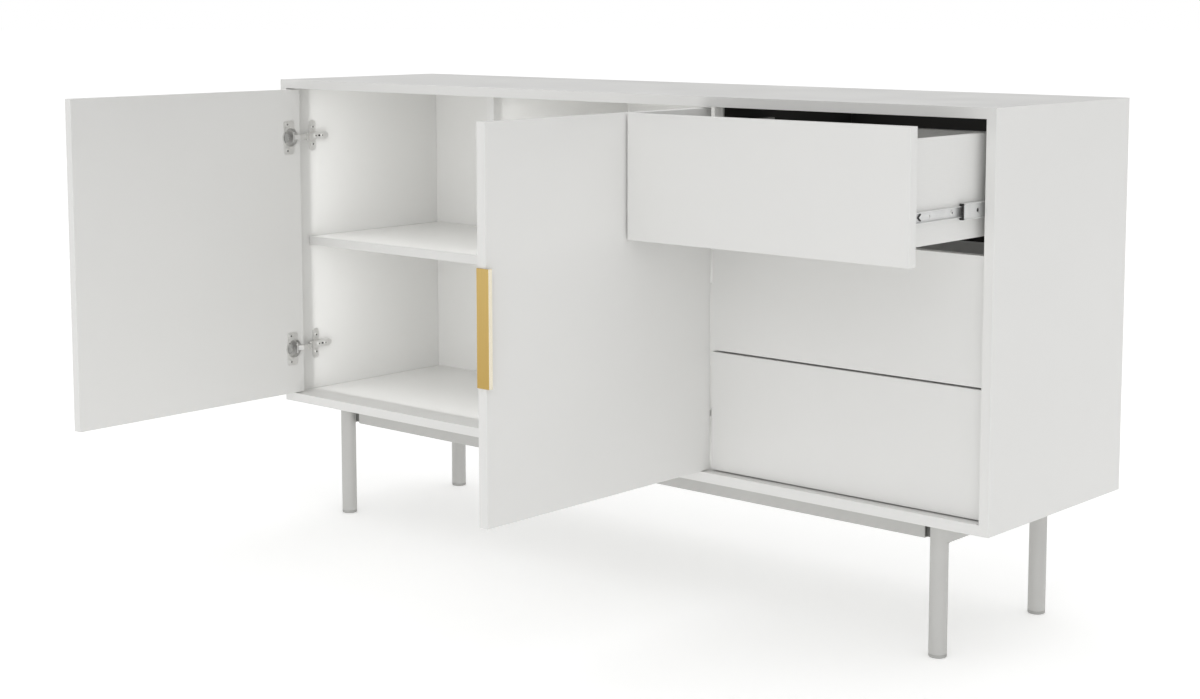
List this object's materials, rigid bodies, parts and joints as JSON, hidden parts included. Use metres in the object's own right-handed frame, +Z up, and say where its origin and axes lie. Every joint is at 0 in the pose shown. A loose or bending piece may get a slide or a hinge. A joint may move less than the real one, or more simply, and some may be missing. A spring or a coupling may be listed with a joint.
{
  "type": "sideboard buffet",
  "caption": "Low white sideboard with hinged doors over shelved compartments, a bank of drawers on metal slides, a gold edge handle and a tubular steel base.",
  "frame": {"origin": "on the floor, at the centre of the pattern of the feet", "axes": "+X to the sideboard's right as seen from the front, +Y to the back, +Z up"},
  "size_m": [1.5, 0.853, 0.8],
  "materials": {
    "white_board": "satin white melamine on particle board",
    "white_lining": "matt white melamine on thin board",
    "base_paint": "satin powder coat on steel tube",
    "foot_plastic": "matt moulded",
    "dark_paint": "matt black",
    "gold": "brushed satin",
    "dowel_wood": "bare beech",
    "slide_steel": "zinc plated",
    "hardware_steel": "nickel plated"
  },
  "bodies": {
    "cabinet": {"top_panel": "white_board", "bottom_panel": "white_board", "left_side_panel": "white_board", "right_side_panel": "white_board", "left_partition": "white_board", "right_partition": "white_board", "back_panel": "white_lining", "left_shelf": "white_board", "middle_shelf": "white_board", "shelf_pins": "hardware_steel", "partition_dowels": "dowel_wood", "front_left_leg": "base_paint", "front_right_leg": "base_paint", "back_left_leg": "base_paint", "back_right_leg": "base_paint", "leg_feet": "foot_plastic", "left_side_rail": "base_paint", "right_side_rail": "base_paint", "front_rail": "base_paint", "back_rail": "base_paint", "rail_joiners": "dark_paint", "base_screws": "hardware_steel", "hinge_plates": "hardware_steel", "hinge_plate_screws": "hardware_steel", "hinge_arms": "hardware_steel", "slide_cases": "slide_steel", "slide_case_screws": "hardware_steel"},
    "left_door": {"left_door": "white_board", "left_hinge_cups": "hardware_steel", "left_cup_screws": "hardware_steel"},
    "left_hinge_links": {"left_hinge_links": "hardware_steel"},
    "middle_door": {"middle_door": "white_board", "middle_hinge_cups": "hardware_steel", "middle_cup_screws": "hardware_steel", "door_handle": "gold"},
    "middle_hinge_links": {"middle_hinge_links": "hardware_steel"},
    "top_drawer": {"top_drawer_front": "white_board", "top_drawer_left_side": "white_lining", "top_drawer_right_side": "white_lining", "top_drawer_back": "white_lining", "top_drawer_bottom": "white_lining", "top_drawer_runners": "slide_steel"},
    "top_midrails": {"top_drawer_midrails": "slide_steel"},
    "middle_drawer": {"middle_drawer_front": "white_board", "middle_drawer_left_side": "white_lining", "middle_drawer_right_side": "white_lining", "middle_drawer_back": "white_lining", "middle_drawer_bottom": "white_lining", "middle_drawer_runners": "slide_steel"},
    "middle_midrails": {"middle_drawer_midrails": "slide_steel"},
    "bottom_drawer": {"bottom_drawer_front": "white_board", "bottom_drawer_left_side": "white_lining", "bottom_drawer_right_side": "white_lining", "bottom_drawer_back": "white_lining", "bottom_drawer_bottom": "white_lining", "bottom_drawer_runners": "slide_steel"},
    "bottom_midrails": {"bottom_drawer_midrails": "slide_steel"}
  },
  "joints": [
    {"name": "left_door_hinge", "type": "hinge", "parent": "cabinet", "child": "left_door", "pos_m": [-0.732, -0.1795, 0.5005], "axis": [0, 0, 1], "range_deg": [0, 90]},
    {"name": "left_link_turn", "type": "hinge", "parent": "cabinet", "child": "left_hinge_links", "pos_m": [-0.72, -0.1595, 0.5005], "axis": [0, 0, 1], "range_deg": [0, 86]},
    {"name": "middle_door_hinge", "type": "hinge", "parent": "cabinet", "child": "middle_door", "pos_m": [0.24497, -0.1795, 0.5005], "axis": [0, 0, -1], "range_deg": [0, 90]},
    {"name": "middle_link_turn", "type": "hinge", "parent": "cabinet", "child": "middle_hinge_links", "pos_m": [0.23297, -0.1595, 0.5005], "axis": [0, 0, -1], "range_deg": [0, 86]},
    {"name": "top_drawer_slide", "type": "slide", "parent": "cabinet", "child": "top_drawer", "axis": [0, -1, 0], "range_m": [-0.1985, 0.0715]},
    {"name": "top_midrails_slide", "type": "slide", "parent": "cabinet", "child": "top_midrails", "axis": [0, -1, 0], "range_m": [-0.09925, 0.03575]},
    {"name": "middle_drawer_slide", "type": "slide", "parent": "cabinet", "child": "middle_drawer", "axis": [0, -1, 0], "range_m": [0, 0.27]},
    {"name": "middle_midrails_slide", "type": "slide", "parent": "cabinet", "child": "middle_midrails", "axis": [0, -1, 0], "range_m": [0, 0.135]},
    {"name": "bottom_drawer_slide", "type": "slide", "parent": "cabinet", "child": "bottom_drawer", "axis": [0, -1, 0], "range_m": [0, 0.27]},
    {"name": "bottom_midrails_slide", "type": "slide", "parent": "cabinet", "child": "bottom_midrails", "axis": [0, -1, 0], "range_m": [0, 0.135]}
  ],
  "couplings": [
    {"joint": "left_link_turn", "follows": "left_door_hinge", "ratio": 0.95},
    {"joint": "middle_link_turn", "follows": "middle_door_hinge", "ratio": 0.95},
    {"joint": "top_midrails_slide", "follows": "top_drawer_slide", "ratio": 0.5},
    {"joint": "middle_midrails_slide", "follows": "middle_drawer_slide", "ratio": 0.5},
    {"joint": "bottom_midrails_slide", "follows": "bottom_drawer_slide", "ratio": 0.5}
  ]
}
